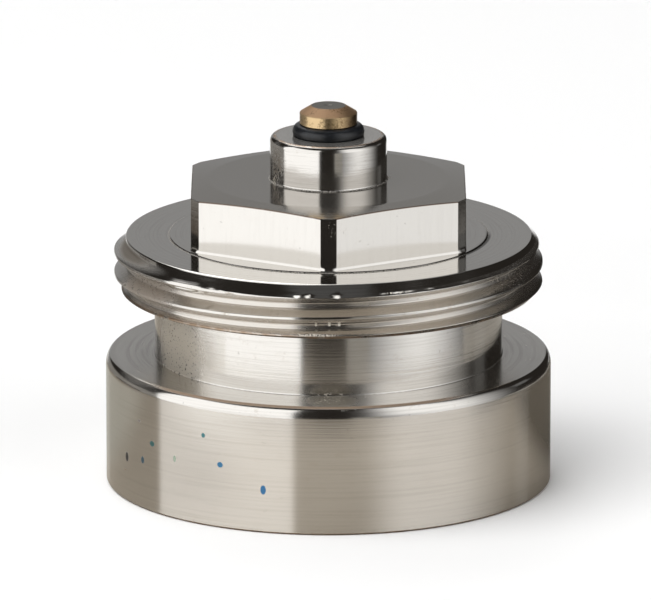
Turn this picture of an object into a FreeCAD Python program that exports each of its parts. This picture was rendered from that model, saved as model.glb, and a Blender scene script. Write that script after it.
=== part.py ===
import FreeCAD, Part
import math
import os

# Adapter between a radiator valve and a thermostatic head, in millimetres.
# The skirt screws onto the valve, the threaded flange takes the head's union nut, and a
# push pin through the middle carries the head's stroke down to the valve's spindle.
# The origin is the centre of the skirt's foot and +Z is the common axis of all pieces.

# Skirt round the valve's neck
skirt_d = 31.0
skirt_h = 9.0
skirt_shoulder_round = 0.58
skirt_foot_break = 0.12

# Valve thread inside the skirt, M28 x 1, bored here to the diameter over its crests
skirt_wall_t = 1.5
valve_thread_pitch = 1.0
valve_thread_depth = 7.0
valve_thread_lead_in = 0.6
relief_w = 1.2
relief_clearance = 0.1

# Chamber for the valve's spindle, between the seat and the web under the hexagon
chamber_d = 19.0
web_t = 2.9

# Neck between the skirt and the flange
neck_d = 24.2
neck_h = 4.65

# Flange with the head thread, M30 x 1.5, measured over its worn crests
head_thread_crest_d = 29.8
head_thread_pitch = 1.5
flange_t = 3.75
flange_top_bevel = 0.8
flange_foot_bevel = 0.5

# Spanner hexagon: a turned stage with six milled flats and a low ledge at its foot
hex_across_flats = 19.0
hex_turned_d = 21.32
hex_stage_h = 4.0
hex_ledge_d = 22.2
hex_ledge_h = 0.15
hex_foot_flare = 0.15
hex_crown_d = 16.66
hex_crown_drop = 0.27

# Boss that guides the pin above the hexagon
boss_d = 8.14
boss_h = 3.1
boss_top_round = 0.4
pin_bore_mouth = 0.4
pin_bore_foot = 0.3

# Push pin, turned in one piece with its head, which stays inside the chamber
pin_d = 4.0
pin_clearance = 0.05
pin_stand_out = 2.1
pin_top_bevel_w = 0.8
pin_top_bevel_h = 0.5
pin_stroke = 4.0
pin_head_d = 8.0
pin_head_t = 2.0
pin_head_bevel = 0.3

# O-ring that hangs the pin on the boss
o_ring_section_d = 1.0
o_ring_side_gap = 0.025
o_ring_seat_gap = 0.03

# Heights and radii that follow from the driving sizes
skirt_r = skirt_d / 2
neck_r = neck_d / 2
boss_r = boss_d / 2
pin_r = pin_d / 2
flange_foot_z = skirt_h + neck_h
flange_top_z = flange_foot_z + flange_t
hex_foot_z = flange_top_z + hex_ledge_h
hex_top_z = flange_top_z + hex_stage_h
boss_top_z = hex_top_z + boss_h
chamber_top_z = flange_top_z - web_t
pin_bore_r = pin_r + pin_clearance
pin_top_z = boss_top_z + pin_stand_out
pin_head_top_z = chamber_top_z - pin_stroke
pin_head_foot_z = pin_head_top_z - pin_head_t

# Radii of both threads, from the 60 degree profile of height sharp_v * pitch. The valve
# thread is as large as the skirt allows with its wall over the thread's root.
sharp_v = math.sqrt(3) / 2
valve_thread_d = skirt_d - 2 * skirt_wall_t
valve_bore_r = valve_thread_d / 2 - 5 / 8 * sharp_v * valve_thread_pitch
relief_r = valve_thread_d / 2 + relief_clearance
crest_r = head_thread_crest_d / 2
crest_land_w = head_thread_pitch / 8
root_flat_w = head_thread_pitch / 4
root_r = crest_r - 5 / 8 * sharp_v * head_thread_pitch

# The ring lies in the bore's 45 degree mouth, its centre on the pin's own surface
o_ring_section_r = o_ring_section_d / 2
o_ring_mean_r = pin_r
o_ring_groove_r = pin_r - o_ring_section_r
o_ring_z = (boss_top_z - pin_bore_mouth + o_ring_mean_r - pin_bore_r
            + math.sqrt(2) * (o_ring_section_r + o_ring_seat_gap))


def turned(corners):
    """Solid of revolution about Z from corners (radius, height, round of that corner).

    A round is two tangent arcs, each half of its turn.
    """
    edges = []
    start = end = None
    for index, (radius, height, corner_round) in enumerate(corners):
        corner = FreeCAD.Vector(radius, 0, height)
        way_in = way_out = corner
        if corner_round:
            before = FreeCAD.Vector(corners[index - 1][0], 0, corners[index - 1][1])
            next_corner = corners[(index + 1) % len(corners)]
            after = FreeCAD.Vector(next_corner[0], 0, next_corner[1])
            back = (before - corner).normalize()
            ahead = (after - corner).normalize()
            half_angle = back.getAngle(ahead) / 2
            bisector = (back + ahead).normalize()
            way_in = corner + back * (corner_round / math.tan(half_angle))
            way_out = corner + ahead * (corner_round / math.tan(half_angle))
            middle = corner + bisector * (corner_round / math.sin(half_angle) - corner_round)
        if end is None:
            start = way_in
        else:
            edges.append(Part.makeLine(end, way_in))
        if corner_round:
            arc = Part.Arc(way_in, middle, way_out)
            half_turn = (arc.FirstParameter + arc.LastParameter) / 2
            edges.append(arc.toShape(arc.FirstParameter, half_turn))
            edges.append(arc.toShape(half_turn, arc.LastParameter))
        end = way_out
    edges.append(Part.makeLine(end, start))
    section = Part.Face(Part.Wire(edges))
    return section.revolve(FreeCAD.Vector(0, 0, 0), FreeCAD.Vector(0, 0, 1), 360)


def skirt_neck_and_flange():
    """Outside of the blank from its foot to the low ledge under the hexagon."""
    return turned([
        (0, 0, 0),
        (skirt_r - skirt_foot_break, 0, 0),
        (skirt_r, skirt_foot_break, 0),
        (skirt_r, skirt_h, skirt_shoulder_round),
        (neck_r, skirt_h, 0),
        (neck_r, flange_foot_z, 0),
        (crest_r - flange_foot_bevel, flange_foot_z, 0),
        (crest_r, flange_foot_z + flange_foot_bevel, 0),
        (crest_r, flange_top_z - flange_top_bevel, 0),
        (crest_r - flange_top_bevel, flange_top_z, 0),
        (hex_ledge_d / 2, flange_top_z, 0),
        (hex_ledge_d / 2, hex_foot_z, 0),
        (0, hex_foot_z, 0),
    ])


def hexagon_and_boss():
    """Turned head end with six flats milled down to the ledge, so each corner keeps a turned strip."""
    stage = turned([
        (0, hex_foot_z, 0),
        (hex_turned_d / 2 + hex_foot_flare, hex_foot_z, 0),
        (hex_turned_d / 2, hex_foot_z + hex_foot_flare, 0),
        (hex_turned_d / 2, hex_top_z - hex_crown_drop, 0),
        (hex_crown_d / 2, hex_top_z, 0),
        (boss_r, hex_top_z, 0),
        (boss_r, boss_top_z, boss_top_round),
        (0, boss_top_z, 0),
    ])
    across_corners = hex_across_flats / math.cos(math.pi / 6)
    corners = []
    for step in range(7):
        angle = math.radians(60 * step - 90)
        radius = across_corners / 2
        corners.append(FreeCAD.Vector(radius * math.cos(angle), radius * math.sin(angle), hex_foot_z))
    kept = Part.Face(Part.makePolygon(corners)).extrude(FreeCAD.Vector(0, 0, boss_top_z - hex_foot_z))
    return stage.common(kept)


def bored_inside():
    """What is bored out: the valve thread's bore, its relief, the chamber and the pin's bore."""
    past_end = valve_thread_lead_in
    return turned([
        (0, -past_end, 0),
        (valve_bore_r + valve_thread_lead_in + past_end, -past_end, 0),
        (valve_bore_r, valve_thread_lead_in, 0),
        (valve_bore_r, valve_thread_depth - relief_w - (relief_r - valve_bore_r), 0),
        (relief_r, valve_thread_depth - relief_w, 0),
        (relief_r, valve_thread_depth, 0),
        (chamber_d / 2, valve_thread_depth, 0),
        (chamber_d / 2, chamber_top_z, 0),
        (pin_bore_r + pin_bore_foot, chamber_top_z, 0),
        (pin_bore_r, chamber_top_z + pin_bore_foot, 0),
        (pin_bore_r, boss_top_z - pin_bore_mouth, 0),
        (pin_bore_r + pin_bore_mouth + past_end, boss_top_z + past_end, 0),
        (0, boss_top_z + past_end, 0),
    ])


def head_thread_grooves():
    """Grooves of the head thread in its true section, as rings one pitch apart from the bevel down."""
    mouth_w = head_thread_pitch - crest_land_w
    first_z = flange_top_z - flange_top_bevel - crest_land_w - mouth_w / 2
    groove_count = int((first_z - flange_foot_z) / head_thread_pitch) + 1
    past_crest = flange_foot_bevel
    flank_slope = (mouth_w - root_flat_w) / 2 / (crest_r - root_r)
    half_mouth = mouth_w / 2 + past_crest * flank_slope
    grooves = []
    for number in range(groove_count):
        middle_z = first_z - number * head_thread_pitch
        grooves.append(turned([
            (root_r, middle_z - root_flat_w / 2, 0),
            (crest_r + past_crest, middle_z - half_mouth, 0),
            (crest_r + past_crest, middle_z + half_mouth, 0),
            (root_r, middle_z + root_flat_w / 2, 0),
        ]))
    return grooves


def adapter_body():
    """Nickel-plated brass body: turned outside, milled flats, bored inside and the head thread."""
    body = skirt_neck_and_flange().fuse(hexagon_and_boss()).cut(bored_inside())
    for groove in head_thread_grooves():
        body = body.cut(groove)
    return body


def push_pin():
    """Brass pin with the groove for its ring above the boss and its head in the chamber."""
    groove_half_w = o_ring_section_r + o_ring_side_gap
    return turned([
        (0, pin_head_foot_z, 0),
        (pin_head_d / 2 - pin_head_bevel, pin_head_foot_z, 0),
        (pin_head_d / 2, pin_head_foot_z + pin_head_bevel, 0),
        (pin_head_d / 2, pin_head_top_z, 0),
        (pin_r, pin_head_top_z, 0),
        (pin_r, o_ring_z - groove_half_w, 0),
        (o_ring_groove_r, o_ring_z - groove_half_w, 0),
        (o_ring_groove_r, o_ring_z + groove_half_w, 0),
        (pin_r, o_ring_z + groove_half_w, 0),
        (pin_r, pin_top_z - pin_top_bevel_h, 0),
        (pin_r - pin_top_bevel_w, pin_top_z, 0),
        (0, pin_top_z, 0),
    ])


def pin_o_ring():
    """Rubber ring in the pin's groove, hung in the mouth of the bore."""
    centre = FreeCAD.Vector(0, 0, o_ring_z)
    return Part.makeTorus(o_ring_mean_r, o_ring_section_r, centre)


os.makedirs("parts", exist_ok=True)
for name, shape in (
    ("adapter_body", adapter_body()),
    ("push_pin", push_pin()),
    ("pin_o_ring", pin_o_ring()),
):
    shape.exportStep("parts/" + name + ".step")
    print(name, "valid", shape.isValid(), "solids", len(shape.Solids), "volume", round(shape.Volume, 2))
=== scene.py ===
import math

import bpy
import numpy as np
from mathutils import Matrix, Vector


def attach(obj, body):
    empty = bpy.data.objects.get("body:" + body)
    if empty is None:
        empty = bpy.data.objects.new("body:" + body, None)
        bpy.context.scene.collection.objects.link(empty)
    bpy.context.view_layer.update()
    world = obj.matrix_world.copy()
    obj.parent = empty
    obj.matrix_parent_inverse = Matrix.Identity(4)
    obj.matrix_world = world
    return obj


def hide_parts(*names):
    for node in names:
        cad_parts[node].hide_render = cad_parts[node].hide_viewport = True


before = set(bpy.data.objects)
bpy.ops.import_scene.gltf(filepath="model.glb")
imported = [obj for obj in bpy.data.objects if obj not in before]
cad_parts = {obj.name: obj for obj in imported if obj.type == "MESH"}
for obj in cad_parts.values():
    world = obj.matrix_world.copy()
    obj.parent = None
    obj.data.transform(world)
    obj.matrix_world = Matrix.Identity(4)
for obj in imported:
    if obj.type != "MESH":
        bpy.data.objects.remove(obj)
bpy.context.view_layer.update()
view_settings = bpy.context.scene.view_settings
view_settings.view_transform = "Standard"


# Adapter body. One bar of brass, turned to the skirt, the neck, the threaded flange and the boss,
# milled to a hexagon, bored from below, and plated with nickel. The visible wear is on this piece:
# nicks along the head thread's crests, film and scuffs in the corners, and specks of paint on the skirt.
# Painted glints, light specks at the thread's nicks, at edges and at the feet of the neck and the
# boss, are put into the plate's colour.

# Sizes are in mm, and MM turns them to metres. A name ends in _r for a radius, in _z for a height
# above the floor, and in _w or _h for how wide or high a thing is by itself.
MM = 0.001
skirt_r = 15.5
skirt_h = 9.0
skirt_shoulder_w = 0.45
skirt_shoulder_h = 0.8
foot_break = 0.12
edge_round = 0.05
neck_r = 12.1
neck_foot_w = 0.05
neck_foot_h = 0.10
neck_top_round = 0.1

flange_foot_z = 13.65
flange_top_z = 17.4
flange_foot_bevel = 0.5
flange_top_bevel = 0.8
crest_r = 14.9
head_pitch = 1.5
head_crest_z_at_left = 14.8
ledge_r = 11.1
ledge_w = 0.1
ledge_h = 0.08
ledge_round = 0.02

flat_r = 9.5
flat_foot_w = 0.03
flat_foot_h = 0.13
flat_top_round = 0.04
stage_r = 10.66
stage_foot_flare = 0.12
stage_flare_h = 0.45
stage_top_z = 21.4
crown_r = 8.33
crown_drop = 0.27
crown_round = 3.0

boss_r = 4.07
boss_top_z = 24.5
boss_foot_round = 0.15
boss_top_round = 0.4
bore_r = 2.05
bore_mouth = 0.4
bore_mouth_round = 0.03
bore_foot = 0.3
chamber_r = 9.5
chamber_top_z = 14.5
chamber_top_round = 0.2
seat_z = 7.0
relief_r = 14.1
relief_foot_z = 5.8
valve_pitch = 1.0
valve_minor_r = 13.459
valve_major_r = 14.0
lead_in = 0.6


def rounded_rows(corners, steps=3):
    """Rows of a profile through corners (radius, height, round), whose values may differ by column.

    Each round is a true arc tangent to both edges, written as a rational quadratic curve whose middle
    weight is the sine of half the corner's angle. A round never takes more than 0.45 of an edge.
    """
    points = []
    for corner in corners:
        radius, height, _ = np.broadcast_arrays(corner[0], corner[1], columns)
        points.append(np.stack([radius, height], -1))
    rows = []
    for i, (point, corner) in enumerate(zip(points, corners)):
        if len(corner) < 3 or i in (0, len(corners) - 1):
            rows.append(point)
            continue
        back = points[i - 1] - point
        ahead = points[i + 1] - point
        back_l = np.linalg.norm(back, axis=-1, keepdims=True)
        ahead_l = np.linalg.norm(ahead, axis=-1, keepdims=True)
        back = back / np.maximum(back_l, 1e-9)
        ahead = ahead / np.maximum(ahead_l, 1e-9)
        half = np.arccos(np.clip((back * ahead).sum(-1, keepdims=True), -1, 1)) / 2
        reach = np.minimum(corner[2] / np.maximum(np.tan(half), 1e-6), 0.45 * np.minimum(back_l, ahead_l))
        start = point + back * reach
        end = point + ahead * reach
        weight = np.sin(half)
        for u in np.linspace(0, 1, steps + 1):
            a, b, c = (1 - u) ** 2, 2 * u * (1 - u) * weight, u ** 2
            rows.append((a * start + b * point + c * end) / (a + b + c))
    return np.stack(rows)


def soft_least(a, b, wear):
    """The smaller of two lengths with a worn edge: -wear times log(exp(-a / wear) + exp(-b / wear))."""
    low = np.minimum(a, b)
    return low - wear * np.log(np.exp((low - a) / wear) + np.exp((low - b) / wear))


def helix_rows(low_z, high_z, pitch, phases):
    """Heights of rows that climb one pitch per turn from the seam, held between low_z and high_z.

    A row starts at phase + k * pitch, so each edge of the thread keeps its own row all the way round.
    """
    first = math.floor((low_z - pitch) / pitch) * pitch
    turns = int((high_z - first) / pitch) + 1
    starts = np.array([k * pitch + first + p for k in range(turns) for p in phases])
    starts = starts[(starts > low_z - pitch) & (starts < high_z)]
    starts = np.concatenate([[low_z - pitch], starts, [high_z]])
    return np.clip(starts[:, None] + pitch * turn[None, :], low_z, high_z)


def from_crest(z, crest_z_at_seam, pitch):
    """Distance from the nearest crest of a right-hand thread along the axis.

    It is the height less that of a crest, which climbs one pitch per turn, wrapped to half a pitch
    either side, without its sign.
    """
    shifted = z - crest_z_at_seam - pitch * turn[None, :]
    return np.abs((shifted + pitch / 2) % pitch - pitch / 2)


def between_heights(z, foot, full_from, full_to, top):
    """1 between two heights, falling in straight lines to 0 at the foot and at the top."""
    return np.clip(np.minimum((z - foot) / (full_from - foot), (top - z) / (top - full_to)), 0, 1)


def closed_mesh(name, grid, kinds=0):
    """Mesh from a closed grid (row, column, xyz in mm). Rows and columns wrap round.

    Points that meet are one. A cell with corners a, b, c, d is one face; where two of its corners
    meet it is a triangle, and where more meet it is left out. kinds gives each row of cells, or each
    cell, its material. Each point shades with the sum of its faces' directions, each times its area
    squared, so that broad faces stay flat and the narrow rounds between them take up the turn.
    """
    rows, cols = grid.shape[:2]
    points = grid.reshape(-1, 3)
    steps_per_mm = 1e5
    keys = np.round(points * steps_per_mm).astype(np.int64)
    _, first, index = np.unique(keys, axis=0, return_index=True, return_inverse=True)
    below = index.reshape(rows, cols)
    above = np.roll(below, -1, 0)
    cells = np.stack([below[:, :-1], below[:, 1:], above[:, 1:], above[:, :-1]], -1).reshape(-1, 4)
    kinds = np.broadcast_to(kinds, (rows, cols - 1)).reshape(-1)
    fresh = cells != np.roll(cells, 1, 1)
    opposite = (cells[:, 0] == cells[:, 2]) | (cells[:, 1] == cells[:, 3])
    size = np.where(opposite, 0, fresh.sum(1))
    kept = size > 2
    cells, fresh, size, kinds = cells[kept], fresh[kept], size[kept], kinds[kept]
    mesh = bpy.data.meshes.new(name)
    mesh.vertices.add(len(first))
    mesh.vertices.foreach_set("co", (points[first] * MM).ravel())
    mesh.loops.add(int(size.sum()))
    mesh.loops.foreach_set("vertex_index", cells[fresh].astype(np.int32))
    mesh.polygons.add(len(size))
    mesh.polygons.foreach_set("loop_start", (np.cumsum(size) - size).astype(np.int32))
    mesh.polygons.foreach_set("material_index", kinds.astype(np.int32))
    mesh.update(calc_edges=True)
    mesh.validate()
    mesh.shade_smooth()
    corners = points[first][cells]
    facing = np.cross(corners[:, 2] - corners[:, 0], corners[:, 3] - corners[:, 1])
    facing *= np.linalg.norm(facing, axis=1, keepdims=True)
    normals = np.zeros((len(first), 3))
    np.add.at(normals, cells[fresh], np.repeat(facing, size, axis=0))
    normals /= np.maximum(np.linalg.norm(normals, axis=1, keepdims=True), 1e-12)
    mesh.normals_split_custom_set_from_vertices(normals.tolist())
    return mesh


def piece_from(mesh, body, node, materials):
    """Object at the origin that rides on a body and stands for a CAD node."""
    piece = bpy.data.objects.new(mesh.name, mesh)
    bpy.context.scene.collection.objects.link(piece)
    for material in materials:
        mesh.materials.append(material)
    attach(piece, body)
    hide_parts(node)


# Columns: 64 to each sixth of a turn, close together where a flat meets the strip at its corner
strip_half_deg = 30 - math.degrees(math.acos(flat_r / stage_r))
strip_edge_deg = 0.13
sixth = np.concatenate([
    np.linspace(0, strip_half_deg - strip_edge_deg, 4),
    np.linspace(strip_half_deg + strip_edge_deg, 60 - strip_half_deg - strip_edge_deg, 57),
    np.linspace(60 - strip_half_deg + strip_edge_deg, 60, 4)[:-1],
])
columns = np.radians(np.append(np.concatenate([90 + 60 * k + sixth for k in range(6)]), 450))
turn = (columns - columns[0]) / (2 * math.pi)

# Degrees from the middle of the nearest flat, and from the front, where minus is left
flat_deg = (np.degrees(columns) + 30) % 60 - 30
front_deg = (np.degrees(columns) - 270 + 180) % 360 - 180

# Skirt and neck, from the foot's inner edge up to the flange's foot. The shoulder is a quarter of an
# ellipse. A row at plane_end from a corner keeps the plane beside it flat.
plane_end = 0.01
lower_rows = rounded_rows([
    (valve_minor_r + lead_in, 0),
    (skirt_r - foot_break, 0, edge_round),
    (skirt_r, foot_break, edge_round),
    (skirt_r, skirt_h - skirt_shoulder_h),
] + [
    (skirt_r - skirt_shoulder_w * (1 - math.cos(a)), skirt_h - skirt_shoulder_h * (1 - math.sin(a)))
    for a in np.radians(np.arange(9, 90, 9))
] + [
    (skirt_r - skirt_shoulder_w, skirt_h),
    (neck_r + neck_foot_w + plane_end, skirt_h),
    (neck_r + neck_foot_w, skirt_h),
    (neck_r, skirt_h + neck_foot_h),
    (neck_r, flange_foot_z, neck_top_round),
    (crest_r - flange_foot_bevel - 2 * plane_end, flange_foot_z),
])

# Head thread M30 x 1.5 on the flange: the blank with both bevels, less the 60 degree groove. Its rows
# lie at these heights from a crest, closer together at the edges of the crest and of the root, and
# the last one is in the bevel. The groove is the larger of its flanks' radius and its root's.
half_phases = [0.05, 0.08, 0.105, 0.14, 0.2, 0.33, 0.46, 0.53, 0.565, 0.61, 0.68]
head_phases = [0.0] + half_phases + [head_pitch / 2] + [head_pitch - p for p in reversed(half_phases)]
crest_z_at_seam = head_crest_z_at_left - head_pitch / 4
head_phases = sorted((p + crest_z_at_seam % head_pitch) % head_pitch for p in head_phases)
head_end_z = flange_top_z - 0.3
head_z = helix_rows(flange_foot_z, head_end_z, head_pitch, head_phases)
head_off = from_crest(head_z, crest_z_at_seam, head_pitch)
head_depth = 5 / 8 * math.sqrt(3) / 2 * head_pitch
flank_r = crest_r - (head_off - head_pitch / 16) * math.sqrt(3)
root_r = np.full_like(flank_r, crest_r - head_depth)
root_wear = 0.03
groove_r = -soft_least(-flank_r, -root_r, root_wear)

# The groove starts at the front left. From there on the bevel above the first crest is barely cut.
first_crest_z_at_front = 16.675
first_crest_z = first_crest_z_at_front + head_pitch * front_deg / 360
bevel_cut_depth = 0.01
bevel_cut_r = crest_r - flange_top_bevel + np.maximum(flange_top_z - bevel_cut_depth - head_z, 0)
groove_start_deg, start_fade_deg, groove_far_deg = -62, 16, 120
started = np.clip((front_deg - groove_start_deg) / start_fade_deg, 0, 1) * (front_deg < groove_far_deg)
above_first = np.where(head_z > first_crest_z, np.maximum(bevel_cut_r - groove_r, 0), 0)
groove_r = groove_r + started * above_first
blank_r = np.minimum(crest_r, np.minimum(
    crest_r - flange_foot_bevel + (head_z - flange_foot_z),
    crest_r - flange_top_bevel + (flange_top_z - head_z),
))
crest_wear = 0.01
head_r = soft_least(blank_r, groove_r, crest_wear)

# The groove starts at full width there, so the first crest begins as a wide land, a little under the
# others. land_z has its foot, where it is full from and to, and its top.
land_deg, land_half_deg, land_drop = -42.5, 6.5, 0.03
land_z = 16.00, 16.08, 16.68, 16.78
land = np.exp(-((front_deg - land_deg) / land_half_deg) ** 4)[None, :] * between_heights(head_z, *land_z)
head_r = head_r + land * np.maximum(crest_r - land_drop - head_r, 0)

# Nicks in the thread's crests: (degrees from the front, height, width, height of nick, depth)
nicks = [
    (-5.6, 16.70, 0.24, 0.12, 0.12), (2.2, 16.70, 0.24, 0.15, 0.14), (-27.0, 16.50, 0.40, 0.10, 0.08),
    (15.0, 16.71, 0.18, 0.06, 0.05), (18.6, 16.72, 0.24, 0.06, 0.06), (22.0, 16.73, 0.16, 0.06, 0.05),
    (-33.0, 16.62, 0.30, 0.08, 0.06), (-30.0, 16.60, 0.16, 0.07, 0.06), (28.0, 16.75, 0.16, 0.06, 0.05),
    (-18.0, 16.62, 0.16, 0.06, 0.05), (40.0, 16.80, 0.20, 0.06, 0.04), (48.0, 16.82, 0.16, 0.06, 0.04),
    (0.2, 14.52, 0.16, 0.10, 0.06), (3.0, 14.52, 0.16, 0.10, 0.06), (118.0, 15.66, 0.40, 0.12, 0.09),
    (163.0, 15.85, 0.30, 0.12, 0.10), (-140.0, 16.1, 0.50, 0.12, 0.09),
]
for deg, z, wide, tall, depth in nicks:
    along = np.radians((front_deg - deg + 180) % 360 - 180)[None, :] * crest_r
    head_r = head_r - depth * np.exp(-(along / wide) ** 2 - ((head_z - z) / tall) ** 2)

# Flange top, hexagon and boss. Each column of the hexagon is cut at its flat, and the crown's cone
# and the flare at the foot meet the flats along their true curves.
hex_foot_z = flange_top_z + ledge_h


def stage_wall(rise):
    """Radius of the hexagon at a height above its foot.

    It is the smaller of two: the turned stage, whose flare falls with the square of the height, and
    the flat, which is flat_r over the cosine of the angle from the flat's middle.
    """
    flare = stage_foot_flare * max(0.0, 1 - rise / stage_flare_h) ** 2
    return np.minimum(stage_r + flare, flat_r / np.cos(np.radians(flat_deg)))


# The flange's top edge has a small round, and is worn rounder at the front left
plane_round, worn_round, worn_deg, worn_half_deg = 0.12, 0.34, -25, 26
plane_edge_round = plane_round + worn_round * np.exp(-((front_deg - worn_deg) / worn_half_deg) ** 4)
wall_r = stage_wall(stage_flare_h)
wall_top_z = stage_top_z - crown_drop * (wall_r - crown_r) / (stage_r - crown_r)
upper_rows = rounded_rows([
    (head_r[-1], head_z[-1]),
    (np.minimum(crest_r - flange_top_bevel, head_r[-1]), flange_top_z, plane_edge_round[:, None]),
    (ledge_r, flange_top_z, ledge_round),
    (ledge_r - ledge_w, hex_foot_z, ledge_round),
    (stage_wall(0) + flat_foot_w + plane_end, hex_foot_z),
    (stage_wall(0) + flat_foot_w, hex_foot_z),
] + [
    (stage_wall(rise), hex_foot_z + rise) for rise in (flat_foot_h, 0.2, 0.3, stage_flare_h)
] + [
    (wall_r, wall_top_z, flat_top_round),
    (crown_r, stage_top_z, crown_round),
    (boss_r, stage_top_z, boss_foot_round),
    (boss_r, boss_top_z - boss_top_round),
] + [
    (boss_r - boss_top_round * (1 - math.cos(a)), boss_top_z - boss_top_round * (1 - math.sin(a)))
    for a in np.radians(np.arange(11.25, 90, 11.25))
] + [
    (boss_r - boss_top_round, boss_top_z),
    (bore_r + bore_mouth, boss_top_z, bore_mouth_round),
    (bore_r, boss_top_z - bore_mouth, bore_mouth_round),
    (bore_r, chamber_top_z + bore_foot),
    (bore_r + bore_foot, chamber_top_z),
    (chamber_r, chamber_top_z, chamber_top_round),
    (chamber_r, seat_z, edge_round),
    (relief_r, seat_z, edge_round),
    (relief_r, relief_foot_z),
])

# Valve thread M28 x 1 inside the skirt, taken downwards from the relief to the foot
half_inner = [0.1, 0.15, 0.28, 0.41]
inner_phases = [0.0] + half_inner + [valve_pitch / 2] + [valve_pitch - p for p in reversed(half_inner)]
inner_z = helix_rows(0.0, relief_foot_z, valve_pitch, inner_phases)
inner_off = from_crest(inner_z, 0.0, valve_pitch)
inner_flank_r = valve_minor_r + (inner_off - valve_pitch / 8) * math.sqrt(3)
inner_root_wear = 0.02
inner_cut_r = soft_least(inner_flank_r, np.full_like(inner_flank_r, valve_major_r), inner_root_wear)
relief_cone = inner_z - relief_foot_z + relief_r - valve_minor_r
inner_blank_r = valve_minor_r + np.maximum(0, np.maximum(lead_in - inner_z, relief_cone))
inner_r = np.maximum(inner_cut_r, inner_blank_r)

radii = np.concatenate([lower_rows[..., 0], head_r, upper_rows[..., 0], inner_r[::-1]])
heights = np.concatenate([lower_rows[..., 1], head_z, upper_rows[..., 1], inner_z[::-1]])
body_grid = np.stack([radii * np.cos(columns), radii * np.sin(columns), heights], -1)

# Each cell takes its finish from where its middle lies: the flats are milled, both threads are cut,
# the skirt's top is faced, and all else is turned
TURNED, MILLED, THREADED, FACED = range(4)
kinds = np.full((len(radii), len(columns) - 1), TURNED)
middle_z = (heights + np.roll(heights, -1, 0))[:, :-1] / 2
middle_r = (radii + np.roll(radii, -1, 0))[:, :-1] / 2
head_cells = slice(len(lower_rows), len(lower_rows) + len(head_z) - 1)
above_thread = middle_z[head_cells] > first_crest_z[None, :-1] + 0.1
kinds[head_cells] = np.where(above_thread | (land[:-1, :-1] > 0.5), TURNED, THREADED)
kinds[-len(inner_z):] = THREADED
on_flat = np.abs((flat_deg[:-1] + flat_deg[1:]) / 2) < 30 - strip_half_deg
flats = (middle_z > hex_foot_z + 0.001) & (middle_z < stage_top_z - 0.1)
flats &= (middle_z < wall_top_z[None, :-1] - 0.02) & (middle_r > flat_r - 0.05) & on_flat[None, :]
flats[:head_cells.stop + 1] = False
kinds[flats] = MILLED
kinds[(abs(middle_z - skirt_h) < 0.001) & (middle_r > neck_r)] = FACED


def linear(hex_colour):
    """An sRGB hex value as the linear colour that shaders take."""
    channels = np.array([int(hex_colour[i:i + 2], 16) for i in (1, 3, 5)]) / 255
    low, high = channels / 12.92, ((channels + 0.055) / 1.055) ** 2.4
    return (*np.where(channels <= 0.04045, low, high).tolist(), 1.0)


def add(tree, kind, *values, **given):
    """Adds one node and gives back the first of its outputs that is in use.

    values are numbers, colours or links for the inputs in use, in their order. given holds the node's
    settings, in small letters, and the inputs that are set by name, such as Roughness.
    """
    node = tree.nodes.new("ShaderNode" + kind)
    for key, value in given.items():
        if key[0].islower():
            setattr(node, key, value)
    pairs = list(zip([socket for socket in node.inputs if socket.enabled], values))
    pairs += [(node.inputs[key.replace("_", " ")], given[key]) for key in given if key[0].isupper()]
    for socket, value in pairs:
        if isinstance(value, bpy.types.NodeSocket):
            tree.links.new(value, socket)
        else:
            socket.default_value = value
    return next((socket for socket in node.outputs if socket.enabled), None)


def new_material(name):
    """An empty material and its tree."""
    material = bpy.data.materials.new(name)
    material.use_nodes = True
    tree = material.node_tree
    tree.nodes.clear()
    return material, tree


# How a Map Range node makes a mask: 0 at its first bound, 1 at its second, with soft ends
SOFT = {"interpolation_type": "SMOOTHSTEP"}


def spot(tree, place, centre, near, far, half_size=None):
    """A mask that is 1 nearer to a centre than near and 0 beyond far, all in mm.

    With half_size the distance is divided by it along each axis, and near and far are shares of it.
    """
    away = add(tree, "VectorMath", place, [c * MM for c in centre], operation="SUBTRACT")
    if half_size:
        away = add(tree, "VectorMath", away, [h * MM for h in half_size], operation="DIVIDE")
    else:
        near, far = near * MM, far * MM
    return add(tree, "MapRange", add(tree, "VectorMath", away, operation="LENGTH"), far, near, **SOFT)


def coated(tree, colour, coats):
    """A colour under coats (mask, share, hex colour), each mixed in by its mask times its share."""
    for mask, share, hex_colour in coats:
        if share < 1:
            mask = add(tree, "Math", mask, share, operation="MULTIPLY")
        colour = add(tree, "Mix", mask, colour, linear(hex_colour), data_type="RGBA")
    return colour


# Edges where the plate is worn thin and the brass tints it, and corners that a cloth doesn't reach:
# (radius, height, near, far) in mm
worn_edges = [
    (boss_r - 0.32, boss_top_z - 0.02, 0.05, 0.16), (skirt_r - 0.05, 0.04, 0.03, 0.12),
    (crest_r - 0.42, flange_foot_z + 0.04, 0.12, 0.32),
]
dusty_corners = [
    (boss_r + 0.03, stage_top_z, 0.02, 0.12), (neck_r, skirt_h, 0.01, 0.06),
    (neck_r, flange_foot_z, 0.05, 0.35), (ledge_r, flange_top_z, 0.02, 0.08),
]

# Noise on the plate: (size in mm, detail, roughness) of clouds of old film, of grains that break
# them up, of pits, and of the wavy edges of paint
plate_noises = [(0.9, 5.0, 0.62), (0.16, 2.0, 0.6), (0.3, 1.0, 0.4), (0.2, 1.0, 0.5)]
# Cover up to which a mark keeps none of the metal's shine: dried paint, and the painted glints on the first
# crest's nicks
GLINT_AND_PAINT_COVER = 0.20


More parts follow.
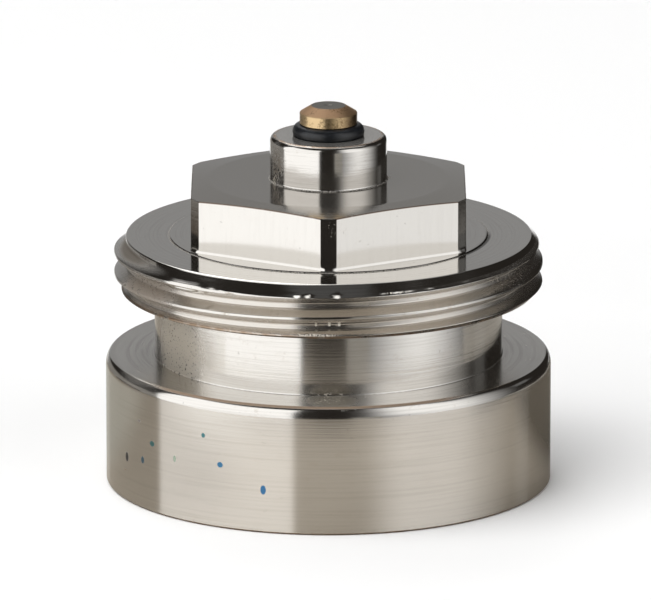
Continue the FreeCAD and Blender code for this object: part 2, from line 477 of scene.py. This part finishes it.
def nickel(name, line_mm, line_depth_mm, upright, polish, tarnish, streak, groove_film=0.0, marks=()):
    """Nickel plate on brass. line_mm is the spacing of the tool's lines and line_depth_mm their depth.

    The lines are rings round the axis, or upright grain on a flat. streak is how much tarnish they
    hold, and groove_film is the brown film in the thread's groove. Each mark is (degrees from the
    front, distance from the axis, height, half its width, half its height, colour, cover): a speck of
    dried paint where cover is 0, and otherwise a patch that shows where the grains are above cover.
    The patches are scuffs, save those that the lists call painted glints: light specks painted into
    the colour. Such a patch keeps some of the metal's shine, but paint and the painted glints on the
    first crest's nicks, with cover up to 0.20, keep none.
    """
    material, tree = new_material(name)
    place = add(tree, "TexCoord").node.outputs["Object"]
    x, y, z = add(tree, "SeparateXYZ", place).node.outputs
    across = add(tree, "CombineXYZ", x, y, 0.0)
    radius = add(tree, "VectorMath", across, operation="LENGTH")
    outward = add(tree, "VectorMath", across, operation="NORMALIZE")
    section = add(tree, "CombineXYZ", radius, z, 0.0)

    # Tool lines: a grain drawn out upwards, or rings that waver a little on their way round
    lines_per_m = 1 / (line_mm * MM)
    if upright:
        stretch = (lines_per_m, lines_per_m, lines_per_m * 0.06)
        lined = add(tree, "VectorMath", place, stretch, operation="MULTIPLY")
    else:
        drift = add(tree, "VectorMath", outward, 1.2, operation="SCALE")
        lined = add(tree, "VectorMath", section, lines_per_m, operation="SCALE")
        lined = add(tree, "VectorMath", lined, drift, operation="ADD")
    lines = add(tree, "TexNoise", lined, Scale=1.0, Detail=3.0, Roughness=0.6)
    clouds, grains, pits, wobble = [
        add(tree, "TexNoise", place, Scale=1 / (size * MM), Detail=detail, Roughness=roughness)
        for size, detail, roughness in plate_noises]

    # Brown film, in clouds broken up by grains and all over the thread's groove
    film = add(tree, "Math", add(tree, "MapRange", clouds, 0.52, 0.80, **SOFT),
               add(tree, "MapRange", grains, 0.42, 0.70, **SOFT), operation="MULTIPLY")
    metal = 1.0
    if groove_film:
        groove = add(tree, "MapRange", radius, (crest_r - 0.08) * MM, (crest_r - 0.5) * MM, **SOFT)
        groove_share = add(tree, "Math", groove, groove_film, operation="MULTIPLY")
        film = add(tree, "Math", film, groove_share, operation="MAXIMUM")
        metal = add(tree, "Math", groove, -0.04, metal, operation="MULTIPLY_ADD")
    held = add(tree, "MapRange", lines, 0.46, 0.68, **SOFT)
    pitted = add(tree, "MapRange", pits, 0.74, 0.80, **SOFT)

    # Worn edges, and the skirt's top edge, which is worn through to brass where it faces the front
    worn = 0.0
    for r, height, near, far in worn_edges:
        edge = spot(tree, section, (r, height, 0), near, far)
        worn = add(tree, "Math", worn, edge, operation="MAXIMUM")
    worn = add(tree, "Math", worn, add(tree, "MapRange", clouds, 0.25, 0.60, **SOFT), operation="MULTIPLY")
    bare_edge = add(tree, "Math", spot(tree, section, (skirt_r - 0.36, skirt_h - 0.03, 0), 0.12, 0.20),
                    spot(tree, place, (-2, -15, skirt_h), 9.5, 13), operation="MULTIPLY")
    worn = add(tree, "Math", worn, bare_edge, operation="MAXIMUM")

    # Dust in the corners, and soil that has gathered at the ledge's right
    dusty = 0.0
    for r, height, near, far in dusty_corners:
        corner = spot(tree, section, (r, height, 0), near, far)
        dusty = add(tree, "Math", dusty, corner, operation="MAXIMUM")
    dusty = add(tree, "Math", dusty, add(tree, "MapRange", grains, 0.30, 0.60, **SOFT), operation="MULTIPLY")
    soil = add(tree, "Math", spot(tree, section, (ledge_r + 0.02, flange_top_z, 0), 0.08, 0.24),
               spot(tree, place, (10.4, -3.2, flange_top_z), 2.2, 4.4), operation="MULTIPLY")

    # The hexagon's top, a duller turned face, and the brown line where its crown meets the flats:
    # flat_distance is how far a place lies towards the nearest flat
    flat_distance = 0.0
    for a in np.radians([0, 60, 120]):
        side = add(tree, "VectorMath", place, (math.cos(a), math.sin(a), 0.0), operation="DOT_PRODUCT")
        side = add(tree, "Math", side, operation="ABSOLUTE")
        flat_distance = add(tree, "Math", flat_distance, side, operation="MAXIMUM")
    crown_slope = crown_drop / (stage_r - crown_r)
    crown_level = (stage_top_z + crown_slope * crown_r) * MM
    on_crown = add(tree, "Math", radius, crown_slope, z, operation="MULTIPLY_ADD")
    at_flat = add(tree, "MapRange", flat_distance, (flat_r - 0.10) * MM, (flat_r - 0.03) * MM, **SOFT)
    at_crown = add(tree, "MapRange", on_crown, crown_level - 0.09 * MM, crown_level - 0.04 * MM, **SOFT)
    rim = add(tree, "Math", at_flat, at_crown, operation="MULTIPLY")
    rim = add(tree, "Math", rim, add(tree, "MapRange", clouds, 0.15, 0.45, **SOFT), operation="MULTIPLY")
    over = add(tree, "MapRange", z, (stage_top_z - 0.3) * MM, (stage_top_z - 0.26) * MM, **SOFT)
    under = add(tree, "MapRange", z, (stage_top_z + 0.03) * MM, (stage_top_z + 0.01) * MM, **SOFT)
    inside = add(tree, "MapRange", flat_distance, (flat_r - 0.005) * MM, (flat_r - 0.03) * MM, **SOFT)
    hex_top = add(tree, "Math", add(tree, "Math", over, under, operation="MULTIPLY"), inside,
                  operation="MULTIPLY")
    boss_top = add(tree, "MapRange", z, (boss_top_z - 0.03) * MM, (boss_top_z - 0.01) * MM, **SOFT)

    colour = coated(tree, linear("#D6D3CE"), [
        (film, tarnish, "#A39079"), (held, streak, "#7E776C"), (pitted, 0.25, "#6E675D"),
        (worn, 0.75, "#9C7C5C"), (dusty, 0.85, "#7D756A"), (hex_top, 0.8, "#A39E97"),
        (rim, 0.9, "#5E4836"), (soil, 1.0, "#3D3933"),
    ])
    rough = polish
    for mask, more in (film, 0.3 * tarnish), (worn, 0.25), (dusty, 0.3):
        rough = add(tree, "Math", mask, more, rough, operation="MULTIPLY_ADD")
    for mask, more in (dusty, -0.7), (bare_edge, -0.5), (hex_top, -0.06), (boss_top, -0.12):
        metal = add(tree, "Math", mask, more, metal, operation="MULTIPLY_ADD")

    # Marks: specks of dried paint, scuffs, and painted glints, which are light specks put into the colour
    for angle, distance, height, wide, tall, hex_colour, cover in marks:
        a = math.radians(angle - 90)
        centre = (distance * math.cos(a), distance * math.sin(a), height)
        half_size = (wide, wide, tall)
        if cover:
            grainy = add(tree, "MapRange", grains, cover, cover + 0.12, **SOFT)
            scuff_and_glint = spot(tree, place, centre, 0.3, 1.0, half_size)
            mask = add(tree, "Math", scuff_and_glint, grainy, operation="MULTIPLY")
        else:
            shift = add(tree, "Math", wobble, 0.7 * wide * MM, -0.35 * wide * MM, operation="MULTIPLY_ADD")
            wavy = add(tree, "VectorMath", outward, shift, operation="SCALE")
            moved = add(tree, "VectorMath", place, wavy, operation="ADD")
            mask = spot(tree, moved, centre, 0.85, 1.1, half_size)
        colour = coated(tree, colour, [(mask, 1.0, hex_colour)])
        shine_lost = -0.6 if cover > GLINT_AND_PAINT_COVER else -1.0
        shine = add(tree, "Math", mask, shine_lost, 1.0, operation="MULTIPLY_ADD")
        metal = add(tree, "Math", metal, shine, operation="MULTIPLY")
        dull = add(tree, "Math", mask, 0.45, operation="MULTIPLY")
        rough = add(tree, "Math", rough, dull, operation="MAXIMUM")

    relief = add(tree, "Math", grains, 0.2, lines, operation="MULTIPLY_ADD")
    bump = add(tree, "Bump", Strength=1.0, Distance=line_depth_mm * MM, Height=relief)
    shader = add(tree, "BsdfPrincipled", Base_Color=colour, Metallic=metal, Roughness=rough, Normal=bump)
    add(tree, "OutputMaterial", shader)
    return material


# Turned nickel plate: fine rings left by the lathe, which draw reflections out up and down but
# leave their upright edges sharp. The marks are dried paint on the skirt, scuffs, and light specks
# that are painted glints.
turned_nickel = nickel(
    "turned_nickel_plate", line_mm=0.17, line_depth_mm=0.003, upright=False,
    polish=0.12, tarnish=0.3, streak=0.13, marks=[
        (-64.1, skirt_r, 3.2, 0.24, 0.34, "#2B2826", 0), (-55.9, skirt_r, 3.5, 0.19, 0.26, "#26404C", 0),
        (-51.7, skirt_r, 4.9, 0.26, 0.20, "#24504E", 0), (-43.1, skirt_r, 4.3, 0.14, 0.24, "#97A693", 0),
        (-33.7, skirt_r, 6.4, 0.15, 0.17, "#3B7478", 0), (-28.7, skirt_r, 4.5, 0.22, 0.20, "#2F6C92", 0),
        (-16.8, skirt_r, 3.05, 0.20, 0.33, "#2A6A98", 0), (-57.5, skirt_r, 6.2, 0.16, 0.09, "#77706A", 0),
        (-65.4, skirt_r, 2.2, 0.14, 0.08, "#7A6A55", 0),
        (-33.5, skirt_r, 3.3, 0.40, 0.07, "#B9B1A5", 0.5),
        (-60.0, neck_r, 10.6, 4.8, 4.6, "#BDB5A8", 0.30),
        # Painted glint: the next mark, light specks along the neck's foot in front
        (0.5, neck_r + 0.1, 9.1, 1.9, 0.20, "#CFC8BC", 0.55),
        # Painted glints: the next two marks, light specks at the boss's foot at the left and greyer ones at
        # its right
        (-66.0, boss_r, 21.8, 0.70, 0.70, "#B8B0A2", 0.48),
        (92.0, boss_r + 0.1, 21.5, 0.50, 0.28, "#8C857A", 0.42),
        (-62.0, boss_r, 22.9, 1.30, 1.80, "#7A7268", 0.40),
        # Painted glints: the next two marks, light specks on the hexagon's front corner and along the
        # skirt's top edge in front
        (1.0, stage_r, 20.4, 0.50, 0.90, "#B8B0A2", 0.60),
        (3.0, skirt_r - 0.3, 8.85, 1.9, 0.12, "#E8E2D6", 0.60),
        (-78.0, 14.55, 16.9, 7.5, 0.52, "#6E675E", 0.22),
    ])

# Milled nickel plate: smoother than the turned faces, with a faint upright grain from the cutter.
milled_nickel = nickel(
    "milled_nickel_plate", line_mm=0.22, line_depth_mm=0.0012, upright=True,
    polish=0.12, tarnish=0.12, streak=0.03)

# Threaded nickel plate: duller, because a thread is cut coarser and rubs in its nut. The light marks
# on its nicks and edges are painted glints.
threaded_nickel = nickel(
    "threaded_nickel_plate", line_mm=0.10, line_depth_mm=0.003, upright=False,
    polish=0.12, tarnish=0.9, streak=0.12, groove_film=0.20, marks=[
        # Painted glints: the first eight marks are light specks painted on the first crest's nicks in front,
        # along the flange's foot edge in front, on the crest at 18 degrees and at the nicks low on the
        # thread
        (2.2, 14.85, 16.71, 0.34, 0.20, "#FFFCF4", 0.20), (-5.6, 14.85, 16.71, 0.30, 0.16, "#FFFCF4", 0.20),
        (-8.4, 14.85, 16.71, 0.34, 0.20, "#FFFCF4", 0.20), (-3.5, 14.6, 13.92, 2.4, 0.12, "#EDE6DA", 0.42),
        (18.0, crest_r, 16.78, 1.5, 0.10, "#E4DDD0", 0.50), (0.2, 14.09, 14.52, 0.16, 0.13, "#F4EEE2", 0.30),
        (3.0, 14.09, 14.52, 0.16, 0.13, "#F4EEE2", 0.30), (-3.5, 14.09, 14.52, 0.12, 0.13, "#D8D0C2", 0.35),
        (-60.0, 14.8, 15.2, 5.4, 1.80, "#9C9287", 0.32), (62.0, 14.8, 16.2, 4.0, 1.00, "#8C8275", 0.56),
    ])

# Faced nickel plate: the skirt's top, a broad plane with open rings from the facing cut.
faced_nickel = nickel(
    "faced_nickel_plate", line_mm=0.24, line_depth_mm=0.003, upright=False,
    polish=0.22, tarnish=0.5, streak=0.22, marks=[
        # Painted glints: the second mark, light specks by the neck's foot in front
        (1.0, 13.5, skirt_h, 3.0, 0.50, "#8F887C", 0.25), (-1.5, 12.9, skirt_h, 2.2, 0.50, "#DCD5C8", 0.55),
    ])

piece_from(
    closed_mesh("nickel_adapter_body", body_grid, kinds), "adapter", "adapter_body",
    [turned_nickel, milled_nickel, threaded_nickel, faced_nickel])


# Push pin. A bare brass pin that slides in the boss and carries the head's stroke down. It is turned,
# with a groove for its ring above the boss and a head inside the chamber that keeps it in.

pin_r = 2.0
pin_top_z = 26.6
pin_bevel_w = 0.8
pin_bevel_h = 0.5
pin_bevel_round = 0.08
pin_top_round = 0.12
centre_mark_r = 0.32
centre_mark_h = 0.12
centre_mark_round = 0.1
pin_head_r = 4.0
pin_head_foot_z = 8.5
pin_head_bevel = 0.3
pin_head_top_z = 10.47
ring_z = 24.7995
ring_section_r = 0.5
ring_groove_half = 0.525
pin_columns = np.radians(np.linspace(90, 450, 129))


def turned_grid(rows, angles):
    """A profile of (radius, height) rows carried round: x = r cos a, y = r sin a, z = height."""
    radius, height = rows[:, :1], rows[:, 1:]
    return np.stack([radius * np.cos(angles), radius * np.sin(angles), height + 0 * angles], -1)


pin_rows = rounded_rows([
    (0, pin_head_foot_z),
    (pin_head_r - pin_head_bevel, pin_head_foot_z, edge_round),
    (pin_head_r, pin_head_foot_z + pin_head_bevel, edge_round),
    (pin_head_r, pin_head_top_z, edge_round),
    (pin_r, pin_head_top_z, edge_round),
    (pin_r, ring_z - ring_groove_half),
    (pin_r - ring_section_r, ring_z - ring_groove_half),
    (pin_r - ring_section_r, ring_z + ring_groove_half),
    (pin_r, ring_z + ring_groove_half, edge_round),
    (pin_r, pin_top_z - pin_bevel_h, pin_bevel_round),
    (pin_r - pin_bevel_w, pin_top_z, pin_top_round),
    (centre_mark_r, pin_top_z, centre_mark_round),
    (0, pin_top_z - centre_mark_h),
])[:, 0]


def aged_brass():
    """Aged turned brass, yellow where the ring wipes it, with oxide in clouds of 0.7 mm.

    The bevel is brown with oxide, and the top, which the head's plunger rubs, is grey. Oxide is dull,
    so it is less of a metal to the eye. The lathe's rings lie 0.09 mm apart.
    """
    material, tree = new_material("aged_turned_brass")
    place = add(tree, "TexCoord").node.outputs["Object"]
    x, y, z = add(tree, "SeparateXYZ", place).node.outputs
    across = add(tree, "CombineXYZ", x, y, 0.0)
    lined = add(tree, "VectorMath", place, (300.0, 300.0, 1 / (0.09 * MM)), operation="MULTIPLY")
    rings = add(tree, "TexNoise", lined, Scale=1.0, Detail=3.0)
    clouds = add(tree, "TexNoise", place, Scale=1 / (0.7 * MM), Detail=4.0)
    grains = add(tree, "TexNoise", place, Scale=1 / (0.14 * MM), Detail=2.0)
    oxide = add(tree, "Math", add(tree, "MapRange", clouds, 0.42, 0.62, **SOFT),
                add(tree, "MapRange", grains, 0.40, 0.66, **SOFT), operation="MULTIPLY")
    # Painted shade: the pin's wall above the ring is painted darker at the right front, on the side away
    # from the lamp
    painted_shade_right = spot(tree, place, (1.8, -1.0, 25.7), 0.6, 1.7)
    bevel_foot_z = pin_top_z - pin_bevel_h
    bevel = add(tree, "MapRange", z, (bevel_foot_z - 0.06) * MM, (bevel_foot_z + 0.08) * MM, **SOFT)
    top_r = pin_r - pin_bevel_w
    top = add(tree, "Math", bevel, spot(tree, across, (0, 0, 0), top_r - 0.08, top_r + 0.08),
              operation="MULTIPLY")
    colour = coated(tree, linear("#D0B68C"), [
        (bevel, 1.0, "#B49271"), (oxide, 0.7, "#6B5238"), (painted_shade_right, 0.75, "#6E5940"), (top, 1.0, "#6A6762")])
    metal = add(tree, "Math", bevel, -0.25, 0.95, operation="MULTIPLY_ADD")
    rough = add(tree, "Math", bevel, 0.18, 0.30, operation="MULTIPLY_ADD")
    bump = add(tree, "Bump", Strength=1.0, Distance=0.002 * MM, Height=rings)
    shader = add(tree, "BsdfPrincipled", Base_Color=colour, Metallic=metal, Roughness=rough, Normal=bump)
    add(tree, "OutputMaterial", shader)
    return material


pin_mesh = closed_mesh("brass_push_pin", turned_grid(pin_rows, pin_columns))
piece_from(pin_mesh, "pin", "push_pin", [aged_brass()])


# O-ring. A moulded ring of black nitrile rubber in the pin's groove, which hangs the pin on the boss.
# It is made in one piece, stretched over the pin's end and snapped into the groove.

section_angles = np.radians(np.linspace(0, 360, 33)[:-1])
ring_rows = np.stack([
    pin_r + ring_section_r * np.cos(section_angles),
    ring_z + ring_section_r * np.sin(section_angles),
], -1)


def nitrile_rubber():
    """Nitrile rubber: black with a dull, slightly bluish sheen, and faint dust in its 0.1 mm grain."""
    material, tree = new_material("nitrile_rubber")
    place = add(tree, "TexCoord").node.outputs["Object"]
    grain = add(tree, "TexNoise", place, Scale=1 / (0.1 * MM), Detail=3.0)
    dust = add(tree, "MapRange", grain, 0.5, 0.8, **SOFT)
    colour = coated(tree, linear("#121417"), [(dust, 1.0, "#33373F")])
    bump = add(tree, "Bump", Strength=1.0, Distance=0.003 * MM, Height=grain)
    shader = add(tree, "BsdfPrincipled", Base_Color=colour, Roughness=0.33, Normal=bump)
    add(tree, "OutputMaterial", shader)
    return material


ring_mesh = closed_mesh("rubber_o_ring", turned_grid(ring_rows, pin_columns))
piece_from(ring_mesh, "pin", "pin_o_ring", [nitrile_rubber()])


# Studio. A pale floor, a round glossy stand that only the metal mirrors, large soft cards round the
# object, and one soft lamp overhead. The cards are areas of the world.

floor_r = 6000
floor_z = -0.02
stand_z = -0.01

# How far the stand reaches: (middle and half width in degrees from the front, radius). The first
# row that holds an azimuth counts, and elsewhere the radius is stand_back_r.
stand_reach = [
    (-2, 13, 68), (-78, 14, 59), (0, 92, 50), (114, 12, 87), (-114, 12, 87), (-90, 91, 58),
]
stand_back_r = 72


def stage_disc(name, radius_of, z, material):
    """A flat stage piece of one face: x = r sin a, y = -r cos a, where r is a function of azimuth a."""
    a = np.linspace(-math.pi, math.pi, 361)[:-1]
    r = radius_of(a)
    points = np.stack([r * np.sin(a), -r * np.cos(a), np.full_like(a, z)], -1) * MM
    mesh = bpy.data.meshes.new(name)
    mesh.from_pydata(points.tolist(), [], [list(range(len(a)))])
    disc = bpy.data.objects.new(name, mesh)
    bpy.context.scene.collection.objects.link(disc)
    mesh.materials.append(material)
    return disc


def stand_radius(a):
    """The stand's radius at an azimuth, from the first row of stand_reach that holds it."""
    held = [abs(a - math.radians(middle)) < math.radians(half) for middle, half, _ in stand_reach]
    return np.select(held, [reach for _, _, reach in stand_reach], stand_back_r)


def white_paper():
    """Matt white paper, which takes a soft shadow."""
    material, tree = new_material("white_paper")
    shader = add(tree, "BsdfPrincipled", Base_Color=linear("#FCFCFC"), Roughness=0.9)
    add(tree, "OutputMaterial", shader)
    return material


def glossy_board():
    """Glossy board, light beside the object and grey at the left back, with painted shade at the right
    back and a painted shadow of the object behind it at the right.

    The metal shows it as the bands of light and dark on the skirt, the neck and the flange.
    """
    material, tree = new_material("glossy_board")
    place = add(tree, "TexCoord").node.outputs["Object"]
    x, y, _ = add(tree, "SeparateXYZ", place).node.outputs
    # Painted shade: at the right back the board is painted dark in a ring about 44 to 47 mm out and beyond
    # about 60 mm, with a lighter band between
    right = spot(tree, place, (48, 30, 0), 42, 52)
    past_light = add(tree, "Math", right, spot(tree, place, (0, 0, 0), 44, 41), operation="MULTIPLY")
    near_dark = add(tree, "Math", past_light, spot(tree, place, (0, 0, 0), 45.5, 47.5), operation="MULTIPLY")
    far_dark = add(tree, "Math", right, spot(tree, place, (2, -7, 0), 60, 57), operation="MULTIPLY")
    dark = add(tree, "Math", near_dark, far_dark, operation="MAXIMUM")
    colour = coated(tree, linear("#DDD4C6"), [
        (spot(tree, place, (-60, 25, 0), 35, 56), 1.0, "#B1A89A"),
        (spot(tree, place, (28, -8, 0), 18, 34), 1.0, "#C4BBAD"),
        (spot(tree, place, (-26, -10, 0), 8, 22), 1.0, "#BBB2A4"),
        (spot(tree, place, (0, 6, 0), 74, 42), 1.0, "#2A2622"),
        (spot(tree, place, (-50, -36, 0), 8, 34), 1.0, "#FAF6EE"),
        (past_light, 1.0, "#C2BDB4"), (dark, 1.0, "#302C28"),
        (spot(tree, place, (76, 33, 0), 10, 13), 1.0, "#6E6B66"),
        (spot(tree, place, (-76, 33, 0), 13, 16), 1.0, "#5E5349"),
    ])
    # Painted shadow: behind the object, within 40 mm, the board is painted darker to the right, where the
    # object's shadow falls from the lamp at the front left
    behind = add(tree, "MapRange", y, -2 * MM, 9 * MM, **SOFT)
    disc = add(tree, "Math", behind, spot(tree, place, (0, 0, 0), 40, 43), operation="MULTIPLY")
    painted_shadow_side = add(tree, "MapRange", x, -6 * MM, 6 * MM, **SOFT)
    disc_colour = coated(tree, linear("#D0CCC0"), [(painted_shadow_side, 1.0, "#7A7368")])
    colour = add(tree, "Mix", disc, colour, disc_colour, data_type="RGBA")
    colour = coated(tree, colour, [(spot(tree, place, (1, -54, 0), 7, 14), 0.45, "#302C28")])
    matt = add(tree, "BsdfDiffuse", colour)
    gloss = add(tree, "BsdfGlossy", linear("#FFFFFF"), 0.1)
    add(tree, "OutputMaterial", add(tree, "MixShader", 0.36, matt, gloss))
    return material


floor = stage_disc("floor", lambda a: np.full_like(a, floor_r), floor_z, white_paper())
floor.visible_glossy = False
stand = stage_disc("stand", stand_radius, stand_z, glossy_board())
stand.visible_camera = False
stand.visible_diffuse = False
stand.visible_shadow = False

# Cards: azimuth from the front (minus is left), its half width and its soft edge, elevation, its half
# height and its soft edge, all in degrees, and the card's colour and strength
cards = [
    (-58, 40, 3, -22, 70, 10, "#FFFFFF", 1.45),
    (62, 27, 56, -18, 58, 24, "#FFFFFF", 1.13),
    (19.5, 7.5, 2, -18, 14, 6, "#FFFAF0", 0.34),
    (52, 20, 30, 28, 30, 12, "#FFFFFF", 1.30),
    (180, 60, 16, 66, 14, 8, "#FFFFFF", 0.66),
    (-148, 18, 6, 62, 17, 8, "#FFFFFF", 1.30),
    (-168, 13, 5, 44, 12, 6, "#FFFFFF", 3.0),
    (0, 50, 10, 82, 12, 6, "#FFFFFF", 0.09),
    (-140, 41, 4, -44, 48, 6, "#FFFAF2", 0.25),
    (-176, 16, 6, 10, 26, 8, "#FFFFFF", 0.31),
    (178, 20, 8, -17, 11, 6, "#FFFFFF", 1.0),
    (120, 7, 4, 14, 6, 4, "#FFFFFF", 0.16),
]
world = bpy.data.worlds.new("studio cards")
bpy.context.scene.world = world
world.use_nodes = True
tree = world.node_tree
tree.nodes.clear()
east, north, up = add(tree, "SeparateXYZ", add(tree, "TexCoord").node.outputs["Generated"]).node.outputs
south = add(tree, "Math", north, -1.0, operation="MULTIPLY")
azimuth = add(tree, "Math", east, south, operation="ARCTAN2")
elevation = add(tree, "Math", up, operation="ARCSINE")
light = linear("#2A2724")
for az, az_half, az_soft, el, el_half, el_soft, hex_colour, strength in cards:
    off = add(tree, "Math", azimuth, math.radians(az), operation="SUBTRACT")
    off = add(tree, "Math", off, math.pi, -math.pi, operation="WRAP")
    off = add(tree, "Math", off, operation="ABSOLUTE")
    rise = add(tree, "Math", elevation, math.radians(el), operation="SUBTRACT")
    rise = add(tree, "Math", rise, operation="ABSOLUTE")
    az_bounds = math.radians(az_half + az_soft / 2), math.radians(az_half - az_soft / 2)
    el_bounds = math.radians(el_half + el_soft / 2), math.radians(el_half - el_soft / 2)
    mask = add(tree, "Math", add(tree, "MapRange", off, *az_bounds, **SOFT),
               add(tree, "MapRange", rise, *el_bounds, **SOFT), operation="MULTIPLY")
    card = tuple(strength * c for c in linear(hex_colour)[:3]) + (1.0,)
    light = add(tree, "Mix", mask, light, card, data_type="RGBA")
add(tree, "OutputWorld", add(tree, "Background", light, 1.0))

lamp_data = bpy.data.lights.new("overhead softbox", "AREA")
lamp_data.shape = "DISK"
lamp_data.size = 0.9
lamp_data.energy = 8.1
lamp = bpy.data.objects.new("overhead softbox", lamp_data)
bpy.context.scene.collection.objects.link(lamp)
lamp.location = (-0.3, -0.2, 1.0)
lamp.rotation_euler = (Vector((0, 0, 0.01)) - lamp.location).to_track_quat("-Z", "Y").to_euler()
lamp.visible_glossy = False

# Camera: as far off and as high as the photographer's, with one corner of the hexagon in front. Its
# focal length is in pixels of the photograph, which is 651 wide.
camera_distance = 754.5
camera_tilt = math.radians(14.53)
camera_aim = Vector((-0.205 * MM, 0, 12.65 * MM))
focal_px = 10839
photo_w_px = 651
camera_data = bpy.data.cameras.new("camera")
camera_data.sensor_width = 36.0
camera_data.lens = camera_data.sensor_width * focal_px / photo_w_px
camera_data.clip_start = 0.01
camera = bpy.data.objects.new("camera", camera_data)
bpy.context.scene.collection.objects.link(camera)
camera_back = Vector((0, -math.cos(camera_tilt), math.sin(camera_tilt)))
camera.location = camera_aim + camera_back * camera_distance * MM
camera.rotation_euler = (-camera_back).to_track_quat("-Z", "Y").to_euler()
bpy.context.scene.camera = camera

bpy.context.view_layer.update()
